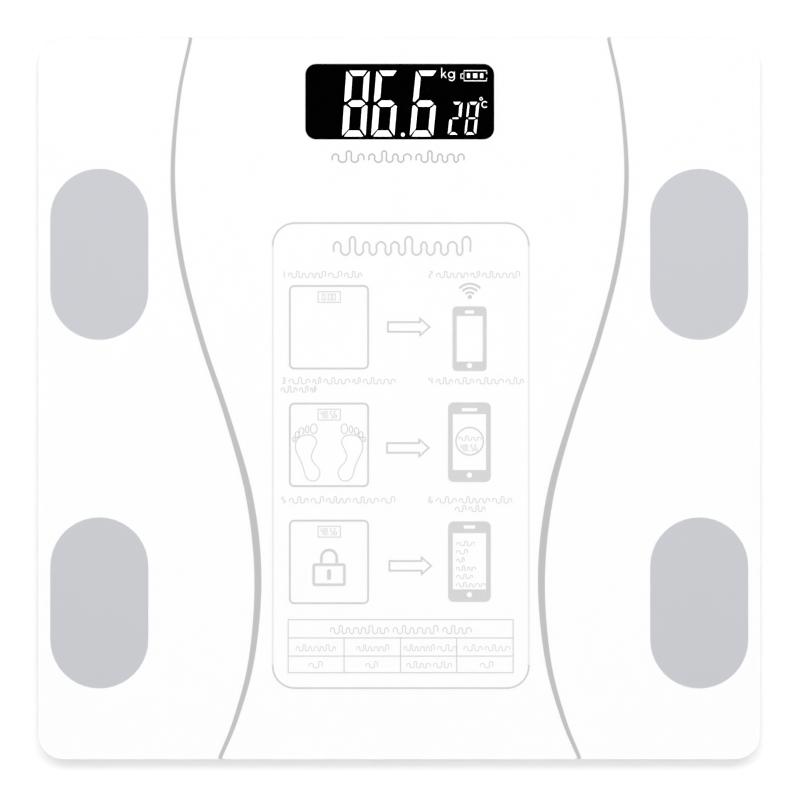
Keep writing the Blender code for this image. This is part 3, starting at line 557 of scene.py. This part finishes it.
def wave(x, y, width, height, line, pitch):
    """A run of joined arches that stands for a word without being one."""
    stems = 2 * max(2, round(width / pitch / 2))
    rhythm = [(1.0, 1.25, 0.8, 1.1, 0.9)[index % 5] for index in range(stems - 1)]
    step = width / sum(rhythm)
    round_off = height * 0.25
    points = []
    for index in range(stems):
        tall = height * (1.38 if (index // 2) % 4 == 1 else 1.0)
        stem = [(x, y + round_off), (x, y + tall - round_off)]
        points += stem if index % 2 == 0 else stem[::-1]
        if index < stems - 1:
            reach = step * rhythm[index]
            points.append((x + reach / 2, y + tall if index % 2 == 0 else y))
            x += reach
    return stroke(smooth(points, 4), line)


def words(x, y, lengths, height, line, gap, pitch=1.0):
    """A line of waves, one for each word."""
    loops = []
    for length in lengths:
        loops += wave(x, y, length, height, line, pitch)
        x += length + gap
    return loops


def digit_strokes(text, x, y, width, height, line, gap):
    """Small plain seven-segment figures, as separate bars."""
    loops = []
    for figure in text:
        if figure == ".":
            loops.append(rectangle(x, y, x + line, y + line))
            x += line + gap
            continue
        loops += segment_bars(SEGMENTS[figure], x, y, width, height, line)
        x += width + gap
    return loops


# Which segments each figure lights: a top, b and c right, d bottom, e and f left, g middle
SEGMENTS = {
    "0": "abcdef", "1": "bc", "2": "abged", "3": "abgcd", "4": "fgbc", "5": "afgcd",
    "6": "afedcg", "7": "abc", "8": "abcdefg", "9": "abfgcd",
}


def segment_bars(lit, x, y, width, height, line):
    """Square-ended bars for a small figure."""
    half = height / 2
    gap = line * 0.25
    across = {"a": height - line, "g": half - line / 2, "d": 0.0}
    upright = {"f": (0.0, half), "b": (width - line, half), "e": (0.0, 0.0), "c": (width - line, 0.0)}
    bars = []
    for name in lit:
        if name in across:
            low = y + across[name]
            bars.append(rectangle(x + line + gap, low, x + width - line - gap, low + line))
        else:
            left, low = x + upright[name][0], y + upright[name][1]
            bars.append(rectangle(left, low + gap, left + line, low + half - gap))
    return bars


def make_words():
    """The title, captions and capacity line as waves, and the step numbers."""
    print_layer("capacity_line", words(-24.1, 85.05, [11.3, 15.1, 17.2], 3.0, 0.5, 1.9, 1.7),
                ink("capacity_ink", TONE_CAPACITY))
    print_layer("title_line", words(-23.6, 51.6, [49.2], 4.8, 0.66, 0, 2.55), ink("title_ink", TONE_TITLE))
    fine = ink("fine_ink", TONE_FINE)
    captions = (
        ("1", -42.7, 43.45, [13.2, 4.6, 6.0]), ("2", 10.6, 43.45, [11.2, 3.0, 13.2]),
        ("3", -42.5, 5.15, [7.3, 2.8, 9.2, 2.6, 11.4]), ("4", 10.6, 5.15, [5.6, 6.4, 9.6, 6.0]),
        ("5", -42.4, -37.8, [6.6, 4.4, 8.4, 9.0, 4.6]), ("6", 10.6, -37.8, [7.0, 10.8, 6.8]),
    )
    marks, numbers = [], []
    for figure, x, y, lengths in captions:
        numbers += digit_strokes(figure, x, y, 1.4, 2.4, 0.36, 0.6)
        marks += words(x + 2.9, y, lengths, 1.7, 0.29, 1.2, 1.1)
    marks += words(-42.5, 2.15, [5.6, 3.0, 1.8], 1.6, 0.29, 1.0, 1.1)
    marks += words(20.3, -40.85, [3.6, 5.8], 1.6, 0.29, 1.2, 1.1)
    print_layer("caption_lines", marks, fine)
    print_layer("step_numbers", numbers, fine)


def make_table():
    """The table: a grid and a wave in each cell."""
    left, bottom, right, top = -40.05, -98.95, 41.05, -79.8
    line = 0.36
    rows = [bottom, -92.95, -86.4, top]
    columns = [left, -19.9, 0.45, 20.7, right]
    half = line / 2
    loops = [rectangle(left - half, bottom - half, right + half, top + half)]
    loops.append(rectangle(left + half, rows[2] + half, right - half, top - half))
    for low, high in zip(rows[:2], rows[1:]):
        for start, end in zip(columns, columns[1:]):
            loops.append(rectangle(start + half, low + half, end - half, high - half))
    material = ink("table_ink", TONE_FINE)
    print_layer("table_grid", loops, material)
    marks = words(-24.7, -84.9, [20.7, 16.0, 10.1], 2.2, 0.33, 1.9, 1.3)
    rows_of_words = (
        (-91.1, ((-37.1, [14.0]), (-15.2, [11.3]), (1.7, [11.0, 6.6]), (23.4, [6.4, 8.8]))),
        (-97.2, ((-32.5, [4.7]), (-11.9, [4.0]), (2.8, [8.4, 6.4]), (29.3, [4.4]))),
    )
    for y, cells in rows_of_words:
        for x, lengths in cells:
            marks += words(x, y, lengths, 1.65, 0.25, 1.2)
    print_layer("table_lines", marks, material)


# ---------------------------------------------------------------- pictograms

# The left foot's sole, and each toe's middle and half sizes
FOOT_SOLE = [
    (-7.5, 3.4), (-5.5, 2.8), (-4.5, 0.8), (-5.7, -2.1), (-6.4, -4.4), (-5.6, -6.6), (-3.9, -8.4),
    (-3.3, -10.6), (-4.4, -12.8), (-6.4, -13.2), (-8.3, -11.8), (-9.4, -8.1), (-10.6, -5.2),
    (-11.9, -2.4), (-12.0, 0.5), (-10.4, 2.8),
]
FOOT_TOES = [
    (-5.5, 5.6, 1.35, 1.9), (-7.9, 5.4, 0.75, 1.4), (-9.9, 4.8, 1.0, 1.35), (-11.5, 3.5, 0.9, 1.2),
    (-12.6, 1.8, 0.65, 1.0),
]


def ring(x, y, half_width, half_height, line):
    """An ellipse drawn as a line."""
    return [ellipse(x, y, half_width, half_height), ellipse(x, y, half_width - line, half_height - line)]


def footprints(x, y):
    """Two bare footprints in outline."""
    line = 0.3
    loops = stroke(smooth(FOOT_SOLE, 4, closed=True), line, closed=True)
    for toe in FOOT_TOES:
        loops += ring(*toe, line)
    return moved(loops, x, y), moved(loops, x, y, mirror=True)


def padlock(x, y):
    """A closed padlock in outline: body, shackle and keyhole."""
    line = 0.95
    bend = 3.24
    body = rounded_ring(x - 6.0, y - 8.2, x + 6.0, y, 0.9, line)
    middle = y + 5.3 - bend
    reach = bend - line / 2
    bow = [(x - reach, y + 0.15), *arc(x, middle, reach, 180, 0, 14), (x + reach, y + 0.15)]
    keyhole = rounded(x - 0.72, y - 6.0, x + 0.72, y - 2.1, 0.71, 6)
    return body, stroke(bow, line), [keyhole]


def arrow(x, y):
    """A block arrow in outline, its tail at x."""
    line = 0.62
    tail, neck, tip, shaft, head = x, x + 11.6, x + 15.8, 2.05, 3.7
    loops = []
    for inset in (0.0, line):
        start, turn, low = tail + inset, neck + inset, shaft - inset
        high, point = head - 2.0 * inset, tip - 1.5 * inset
        loops.append([
            (start, y - low), (turn, y - low), (turn, y - high), (point, y), (turn, y + high),
            (turn, y + low), (start, y + low),
        ])
    return loops


def phone(outline, screen, corner, slot, slot_top, button):
    """A telephone seen from the front, with its screen, speaker slot and button left open."""
    middle = (outline[0] + outline[2]) / 2
    low, high = slot_top - 1.2, slot_top
    return [
        rounded(*outline, corner),
        rectangle(*screen),
        rounded(middle - slot / 2, low, middle + slot / 2, high, 0.2, 3),
        ellipse(middle, button, 0.98, 0.98, 20),
    ]


def make_pictograms():
    """The three steps: scale, arrow and telephone, from top to bottom."""
    icon = ink("icon_ink", TONE_ICON)
    fine = ink("icon_fine_ink", TONE_FINE)
    for number, (top, reading) in enumerate(((40.8, "0.00"), (-1.6, "48.56"), (-43.8, "48.56")), start=1):
        print_layer(f"step_{number}_scale", rounded_ring(-39.75, top - 30.4, -10.9, top, 1.9, 0.64), icon)
        low, high = top - 6.4, top - 2.2
        box = [rectangle(-29.4, low, -21.1, high), rectangle(-29.1, low + 0.3, -21.4, high - 0.3)]
        wide = 1.25 if number == 1 else 1.05
        figures = digit_strokes(reading, -27.9 if number == 1 else -28.3, low + 0.85, wide, 2.5, 0.26, 0.33)
        print_layer(f"step_{number}_reading", box + figures, fine)
    for number, (x, y) in enumerate(((-4.4, 25.7), (-4.7, -17.9), (-3.85, -60.4)), start=1):
        print_layer(f"step_{number}_arrow", arrow(x, y), icon)
    left, right = footprints(-25.3, -16.6)
    feet = ink("feet_ink", TONE_FEET)
    print_layer("step_2_left_foot", left, feet)
    print_layer("step_2_right_foot", right, feet)
    lock = ink("lock_ink", TONE_SOLID)
    for name, loops in zip(("body", "shackle", "keyhole"), padlock(-25.3, -59.5)):
        print_layer(f"step_3_lock_{name}", loops, lock)
    make_phones(icon, fine)


def make_phones(icon, fine):
    """The telephones, what they show, and the radio waves over the first."""
    solid = ink("phone_ink", TONE_SOLID)
    phones = (
        ((19.2, 9.8, 31.5, 33.1), (20.7, 13.2, 30.1, 29.7), 1.5, 3.3, 31.7, 11.8),
        ((17.6, -30.2, 33.0, -1.5), (19.3, -25.9, 31.3, -5.7), 2.0, 5.6, -3.5, -27.7),
        ((17.6, -73.4, 33.0, -44.4), (19.3, -68.9, 31.3, -48.6), 2.0, 4.1, -45.8, -70.8),
    )
    for number, shape in enumerate(phones, start=1):
        print_layer(f"step_{number}_phone", phone(*shape), solid)
    loops = [ellipse(25.45, 36.5, 0.75, 0.75, 20)]
    for radius in (2.0, 3.55, 5.1):
        loops += stroke(arc(25.45, 36.2, radius, 138, 42, 12), 0.70)
    print_layer("radio_waves", loops, icon)
    print_layer("step_2_dial", ring(25.4, -15.5, 5.2, 5.2, 0.46), icon)
    marks = words(21.5, -15.2, [8.0], 1.2, 0.26, 0, 0.95)
    marks += digit_strokes("48.56", 22.1, -19.1, 1.05, 2.5, 0.3, 0.4)
    for row, length in enumerate((6.4, 3.9, 2.7, 6.8, 5.8, 10.2)):
        marks += words(20.7, -53.15 - 2.97 * row, [length], 1.2, 0.26, 0, 0.95)
    print_layer("phone_lines", marks, fine)


# ---------------------------------------------------------------- display

def lean(loops, x, y, slant):
    """Loops leaned to the right about their base and moved into place."""
    return [[(px + py * slant + x, py + y) for px, py in loop] for loop in loops]


def big_segments(lit, width, height, uprights, bars, unit, tuck=0.0):
    """Mitred segments with dark joints; unit scales the cuts of their ends, tuck trims their inner sides."""
    left, right = uprights
    top, middle, bottom = bars
    half = height / 2

    def upper(side):
        return [
            (0.0, half + 0.75 * unit), (0.7 * unit, half + 0.5 * unit),
            (side, half + middle / 2 + 0.75 * unit),
            (side, height - top - 0.55 * unit), (0.5 * unit, height - 0.35 * unit),
            (0.05 * unit, height - 0.35 * unit),
        ]

    def lower(side):
        return [
            (0.0, 0.5 * unit), (0.3 * unit, 0.4 * unit), (side, bottom + 0.5 * unit),
            (side, half - middle / 2 - 0.5 * unit), (0.75 * unit, half - 0.45 * unit),
            (0.0, half - 0.8 * unit),
        ]

    def mirrored(loop):
        return [(width - x, y) for x, y in loop[::-1]]

    shapes = {
        "a": [(left + 0.05 * unit + tuck, height - top), (width - right - 0.15 * unit - tuck, height - top),
              (width - 0.95 * unit, height), (0.95 * unit, height)],
        "b": mirrored(upper(right)),
        "c": mirrored(lower(right)),
        "d": [(0.65 * unit, 0.0), (width - 0.65 * unit, 0.0), (width - right - 0.3 * unit - tuck, bottom),
              (left - 0.15 * unit + tuck, bottom)],
        "e": lower(left),
        "f": upper(left),
        "g": [(1.3 * unit, half), (left + 0.1 * unit, half - middle / 2),
              (width - right - 0.25 * unit, half - middle / 2), (width - 0.85 * unit, half),
              (width - right - 0.1 * unit, half + middle / 2), (left + 0.4 * unit, half + middle / 2)],
    }
    return [shrunk(shapes[name], LIT_INSET) for name in lit]


def segments(name, loops, material):
    """Lit marks on the display."""
    return layer(name, loops, SEGMENT_TOP, LAYER_THICK, material)


def make_reading():
    """The large reading, its unit, the battery mark and the temperature."""
    lit = segment_material()
    large = (
        ("8", -20.77, 8.7, 0.066, (2.5, 2.2)), ("6", -10.27, 8.6, 0.080, (2.4, 2.15)),
        ("6", 3.63, 8.65, 0.096, (2.12, 2.12)),
    )
    for place, (figure, x, width, slant, uprights) in enumerate(large, start=1):
        loops = big_segments(SEGMENTS[figure], width, DIGIT_HEIGHT, uprights, (2.08, 2.46, 2.4), 1.0)
        segments(f"digit_{place}", lean(loops, x, DIGIT_BASE, slant), lit)
    segments("decimal_point", [ellipse(1.32, 95.05, 0.67, 0.67, 24)], lit)
    small = (("2", 17.37, (1.25, 1.25)), ("8", 23.37, (0.92, 1.2)))
    for place, (figure, x, uprights) in enumerate(small, start=1):
        loops = big_segments(SEGMENTS[figure], 4.4, SMALL_HEIGHT, uprights, (1.2, 0.76, 1.1), 0.6, 0.3)
        segments(f"temperature_digit_{place}", lean(loops, x, SMALL_BASE, 0.105), lit)
    make_units(lit)
    make_battery_mark(lit)


def make_units(lit):
    """The unit letters kg and the degree mark with its C, drawn as strokes."""
    line = 0.25
    base, x_height = 115.5, 2.2
    left = 15.3
    segments("unit_k_stem", [rectangle(left - line / 2, base, left + line / 2, base + 3.6)], lit)
    knee = (left + line / 2 + 0.04, base + 0.95)
    segments("unit_k_arm", stroke([knee, (left + 1.4, base + x_height)], line), lit)
    segments("unit_k_leg", stroke([(left + 0.66, base + 1.2), (left + 1.58, base)], line), lit)
    middle, radius = left + 3.45, 1.12
    segments("unit_g_bowl", ring(middle, base + radius, radius, radius, line), lit)
    right = middle + radius
    hook = [(right, base + x_height), (right, base + 0.3), *arc(right - 1.0, base, 1.0, 0, -150, 10)]
    segments("unit_g_tail", stroke(hook, line), lit)
    segments("degree_mark", ring(29.5, 107.95, 0.58, 0.58, 0.22), lit)
    segments("degree_letter", stroke(arc(30.85, 105.9, 1.05, 45, 315, 16), 0.28), lit)


def make_battery_mark(lit):
    """A battery with its nub on the left and three full bars."""
    left, low, right, high = 23.35, 114.45, 31.5, 118.1
    line = 0.25
    shell = [(right, high - 1.15), (right, high), (left, high), (left, low), (right, low), (right, low + 1.0)]
    segments("battery_shell", stroke(shell, line), lit)
    nub_left, nub_right = left - 1.15, left - 0.2
    nub = [(nub_right, high - 1.15), (nub_left, high - 1.15), (nub_left, low + 0.95), (nub_right, low + 0.95)]
    segments("battery_nub", stroke(nub, line), lit)
    for number, (start, end) in enumerate(((24.45, 25.45), (26.65, 28.1), (29.2, 30.25)), start=1):
        segments(f"battery_bar_{number}", [rectangle(start, low + 1.05, end, high - 1.0)], lit)


# ---------------------------------------------------------------- the object

def pass_light(obj):
    """Let the coat under the glass take its light past this piece, so that it stays evenly white."""
    obj.visible_shadow = False
    obj.visible_diffuse = False


def make_glass_edge():
    """The ground band round the glass, between its two rounded edges."""
    loops = []
    for reach in (BAND_REACH, BAND_GAP):
        half = GLASS_HALF + reach
        loops.append(rounded(-half, -half, half, half, GLASS_CORNER + reach, 12))
    top = GLASS_HIGH[2] - BAND_TRIM * MM
    thick = top - (GLASS_LOW[2] + BAND_TRIM * MM)
    band = layer("glass_ground_edge", loops, top, thick, edge_material())
    pass_light(band)


def make_bonds():
    """The adhesive film between each electrode and the glass, a hair clear of both."""
    material = bond_material()
    inset, gap, plate_thick = 0.25, 0.02 * MM, 0.4 * MM
    for end, side in CORNERS:
        low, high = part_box(f"electrode_{end}_{side}")
        left, bottom = low[0] / MM + inset, low[1] / MM + inset
        right, top = high[0] / MM - inset, high[1] / MM - inset
        loop = rounded(left, bottom, right, top, (right - left) / 2 - 0.001, 20)
        film_top = high[2] - plate_thick - gap
        thick = film_top - gap - GLASS_HIGH[2]
        film = layer(f"electrode_bond_{end}_{side}", [loop], film_top, thick, material)
        pass_light(film)
        pass_light(NODES[f"electrode_{end}_{side}"])


def dress_nodes():
    """Give every CAD node its finish."""
    lengthwise = (1, 0.04, 1)
    electrode = brushed("electrode_steel", (0.572, 0.577, 0.604), 0.64, lengthwise, 5200,
                        change=0.012, swing=0.015)
    bright = brushed("bright_steel", (0.62, 0.62, 0.63), 0.3)
    cell = brushed("cell_steel", (0.36, 0.37, 0.39), 0.4, (0.1, 1, 1), 3000)
    white = plastic("white_plastic", (0.74, 0.74, 0.73), 0.5)
    black = plastic("black_plastic", (0.012, 0.012, 0.013), 0.4)
    by_prefix = (
        ("glass_platform", glass_material()),
        ("glass_tape", foam_material()),
        ("electrode_nut", bright),
        ("electrode_lead", plastic("lead_black", (0.012, 0.012, 0.012), 0.45)),
        ("electrode", electrode),
        ("base_tray", white),
        ("load_cell_bracket", white),
        ("load_cell_lead", plastic("lead_red", (0.45, 0.02, 0.015), 0.45)),
        ("load_cell", cell),
        ("strain_gauge", plastic("gauge_film", (0.62, 0.34, 0.06), 0.35)),
        ("foot_cup", white),
        ("foot_pad", rubber_material("foot_rubber", (0.05, 0.05, 0.053))),
        ("display_panel", display_material()),
        ("display_backlight", plastic("diffuser", (0.85, 0.85, 0.83), 0.3)),
        ("display_contact_strip", rubber_material("strip_rubber", (0.03, 0.03, 0.03))),
        ("display_holder", black),
        ("main_pcb", board_material()),
        ("processor_chip", black),
        ("radio_module", brushed("shield_tin", (0.55, 0.55, 0.53), 0.35)),
        ("unit_switch", black),
        ("temperature_sensor", plastic("sensor_bead", (0.25, 0.12, 0.04), 0.3)),
        ("pcb_screw", bright),
        ("battery_contact", bright),
        ("battery_lead_plus", plastic("battery_red", (0.45, 0.02, 0.015), 0.45)),
        ("battery_lead_minus", plastic("battery_black", (0.012, 0.012, 0.012), 0.45)),
        ("battery_door", white),
        ("battery_1", battery_material("battery_sleeve_1", 1)),
        ("battery_2", battery_material("battery_sleeve_2", -1)),
        ("unit_button", plastic("button_grey", (0.22, 0.23, 0.24), 0.5)),
    )
    for name, node in NODES.items():
        material = next(finish for prefix, finish in by_prefix if name.startswith(prefix))
        node.data.materials.clear()
        node.data.materials.append(material)
    pass_light(NODES["glass_platform"])


# ---------------------------------------------------------------- stage

def make_floor():
    """A pale floor, clear from below so that the underside can be seen."""
    bm = bmesh.new()
    bmesh.ops.create_grid(bm, x_segments=1, y_segments=1, size=6.0)
    mesh = bpy.data.meshes.new("floor")
    bm.to_mesh(mesh)
    bm.free()
    floor = bpy.data.objects.new("floor", mesh)
    bpy.context.scene.collection.objects.link(floor)
    material, nodes, links, shader = new_material("floor_white")
    shader.inputs["Base Color"].default_value = (0.78, 0.78, 0.78, 1)
    shader.inputs["Roughness"].default_value = 0.9
    shader.inputs["Specular IOR Level"].default_value = 0.0
    geometry = nodes.new("ShaderNodeNewGeometry")
    path = nodes.new("ShaderNodeLightPath")
    either = nodes.new("ShaderNodeMath")
    either.operation = "MAXIMUM"
    links.new(geometry.outputs["Backfacing"], either.inputs[0])
    links.new(path.outputs["Is Shadow Ray"], either.inputs[1])
    clear = nodes.new("ShaderNodeBsdfTransparent")
    mix = nodes.new("ShaderNodeMixShader")
    links.new(either.outputs["Value"], mix.inputs["Fac"])
    links.new(shader.outputs["BSDF"], mix.inputs[1])
    links.new(clear.outputs["BSDF"], mix.inputs[2])
    links.new(mix.outputs["Shader"], nodes["Material Output"].inputs["Surface"])
    mesh.materials.append(material)


def area_light(name, place, target, size, power):
    """A rectangular soft light, its sides as in size, that points at a target."""
    light = bpy.data.lights.new(name, "AREA")
    light.shape = "RECTANGLE"
    light.size, light.size_y = size
    light.energy = power
    obj = bpy.data.objects.new(name, light)
    obj.location = place
    obj.rotation_euler = (Vector(target) - Vector(place)).to_track_quat("-Z", "Y").to_euler()
    bpy.context.scene.collection.objects.link(obj)
    return obj


def make_lights():
    """Soft light from straight above and from over the display end, some from below, and a pale sky."""
    overhead = area_light("overhead", (0, 0, LAMP_DISTANCE), (0, 0, 0), (0.7, 0.7), OVERHEAD_POWER)
    overhead.visible_glossy = False
    overhead.visible_transmission = False
    tilt = math.radians(KEY_TILT)
    place = (0, LAMP_DISTANCE * math.sin(tilt), LAMP_DISTANCE * math.cos(tilt))
    area_light("key", place, (0, 0, 0), (1.6, 0.63), KEY_POWER)
    below = area_light("below", (0.3, -0.4, -2.5), (0, 0, 0), (2.2, 2.2), BELOW_POWER)
    below.visible_camera = False
    make_sky()


def make_sky():
    """A pale sky that is dark straight overhead, so that the black display stays black from above."""
    world = bpy.data.worlds.new("studio")
    bpy.context.scene.world = world
    world.use_nodes = True
    nodes, links = world.node_tree.nodes, world.node_tree.links
    nodes.clear()
    coordinates = nodes.new("ShaderNodeTexCoord")
    split = nodes.new("ShaderNodeSeparateXYZ")
    links.new(coordinates.outputs["Generated"], split.inputs["Vector"])
    ramp = nodes.new("ShaderNodeValToRGB")
    elements = ramp.color_ramp.elements
    elements[0].position = 0.0
    elements[0].color = (SKY_SIDE,) * 3 + (1,)
    elements[1].position = 1.0
    elements[1].color = (0, 0, 0, 1)
    for place, level in ((0.45, SKY_SIDE), (0.93, SKY_HIGH), (0.985, 0.0)):
        element = elements.new(place)
        element.color = (level,) * 3 + (1,)
    links.new(split.outputs["Z"], ramp.inputs["Fac"])
    background = nodes.new("ShaderNodeBackground")
    background.inputs["Strength"].default_value = 1.0
    links.new(ramp.outputs["Color"], background.inputs["Color"])
    output = nodes.new("ShaderNodeOutputWorld")
    links.new(background.outputs["Background"], output.inputs["Surface"])


def make_camera():
    """A long lens straight above, the display end at the top of the picture."""
    height = VIEW_WIDTH * MM * LENS / SENSOR
    camera = bpy.data.cameras.new("camera")
    camera.lens = LENS
    camera.sensor_width = SENSOR
    camera.clip_end = 100
    obj = bpy.data.objects.new("camera", camera)
    obj.location = (VIEW_CENTER[0] * MM, VIEW_CENTER[1] * MM, GLASS_HIGH[2] + height)
    bpy.context.scene.collection.objects.link(obj)
    bpy.context.scene.camera = obj


bpy.context.scene.view_settings.view_transform = "Standard"
make_camera()
make_floor()
make_lights()
make_coat()
make_curves()
make_panel_frame()
make_words()
make_table()
make_pictograms()
make_reading()
make_glass_edge()
make_bonds()
dress_nodes()
